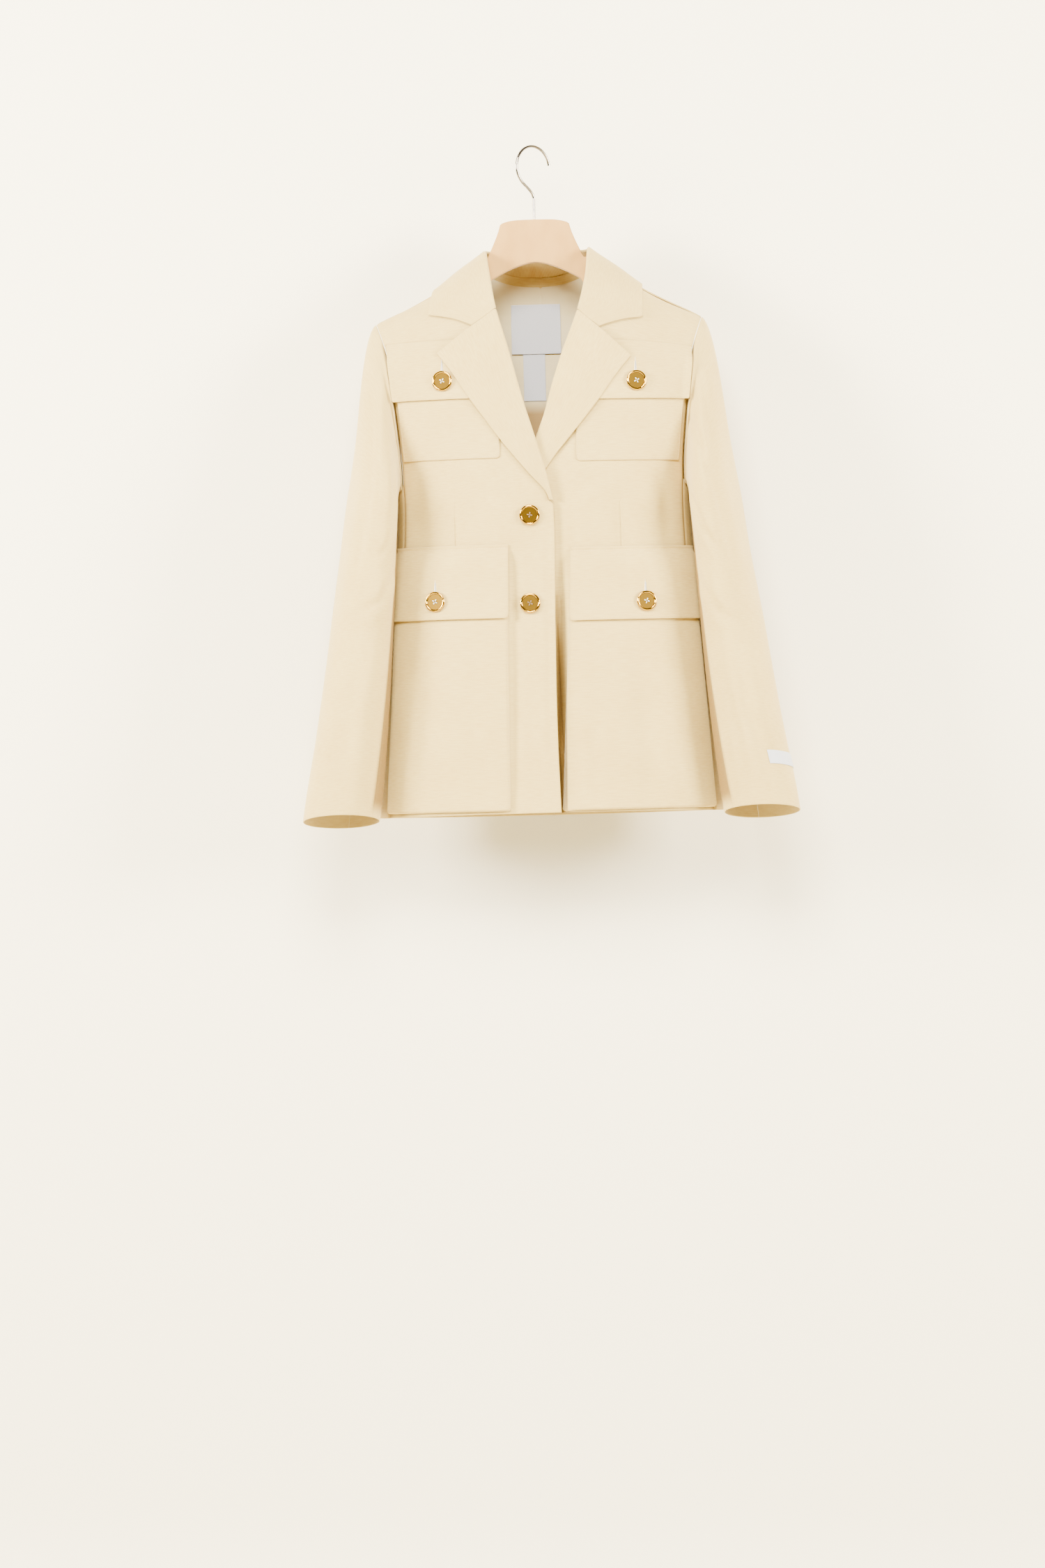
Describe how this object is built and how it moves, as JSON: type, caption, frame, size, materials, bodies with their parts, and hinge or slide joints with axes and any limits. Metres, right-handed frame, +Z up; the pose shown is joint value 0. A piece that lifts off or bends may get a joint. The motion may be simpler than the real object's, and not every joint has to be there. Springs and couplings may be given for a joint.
{
  "type": "safari jacket on hanger",
  "caption": "Cream single-breasted safari jacket with notched lapels and flapped patch pockets, hanging on a plain flocked hanger with a metal hook.",
  "frame": {"origin": "the top of the inside of the hanger's hook, where a rail would carry it", "axes": "+Z up, +X to the wearer's left (picture right), -Y out of the front of the jacket towards the viewer"},
  "size_m": [0.6096, 0.1889, 0.8456],
  "materials": {
    "jacket_cloth": "matt fine twill, cream",
    "lining_satin": "soft sheen satin, ivory",
    "label_satin": "plain woven satin, white",
    "gold_metal": "bright rim with satin middle, gold coloured",
    "flocked_board": "short flock, pale peach",
    "chrome_wire": "bright plated wire"
  },
  "bodies": {
    "root": {"back_left": "jacket_cloth", "back_right": "jacket_cloth", "button_chest_left": "gold_metal", "button_chest_right": "gold_metal", "button_front_lower": "gold_metal", "button_front_upper": "gold_metal", "button_pocket_left": "gold_metal", "button_pocket_right": "gold_metal", "chest_flap_left": "jacket_cloth", "chest_flap_right": "jacket_cloth", "chest_pocket_left": "jacket_cloth", "chest_pocket_right": "jacket_cloth", "collar": "jacket_cloth", "front_left": "jacket_cloth", "front_right": "jacket_cloth", "hanger_bar": "flocked_board", "hanger_hook": "chrome_wire", "lapel_left": "jacket_cloth", "lapel_right": "jacket_cloth", "lining_left": "lining_satin", "lining_right": "lining_satin", "lower_flap_left": "jacket_cloth", "lower_flap_right": "jacket_cloth", "lower_pocket_left": "jacket_cloth", "lower_pocket_right": "jacket_cloth", "neck_facing": "jacket_cloth", "neck_label": "label_satin", "side_left": "jacket_cloth", "side_right": "jacket_cloth", "size_label": "label_satin", "sleeve_label": "label_satin", "sleeve_top_left": "jacket_cloth", "sleeve_top_right": "jacket_cloth", "sleeve_under_left": "jacket_cloth", "sleeve_under_right": "jacket_cloth", "yoke_left": "jacket_cloth", "yoke_right": "jacket_cloth"}
  },
  "joints": []
}
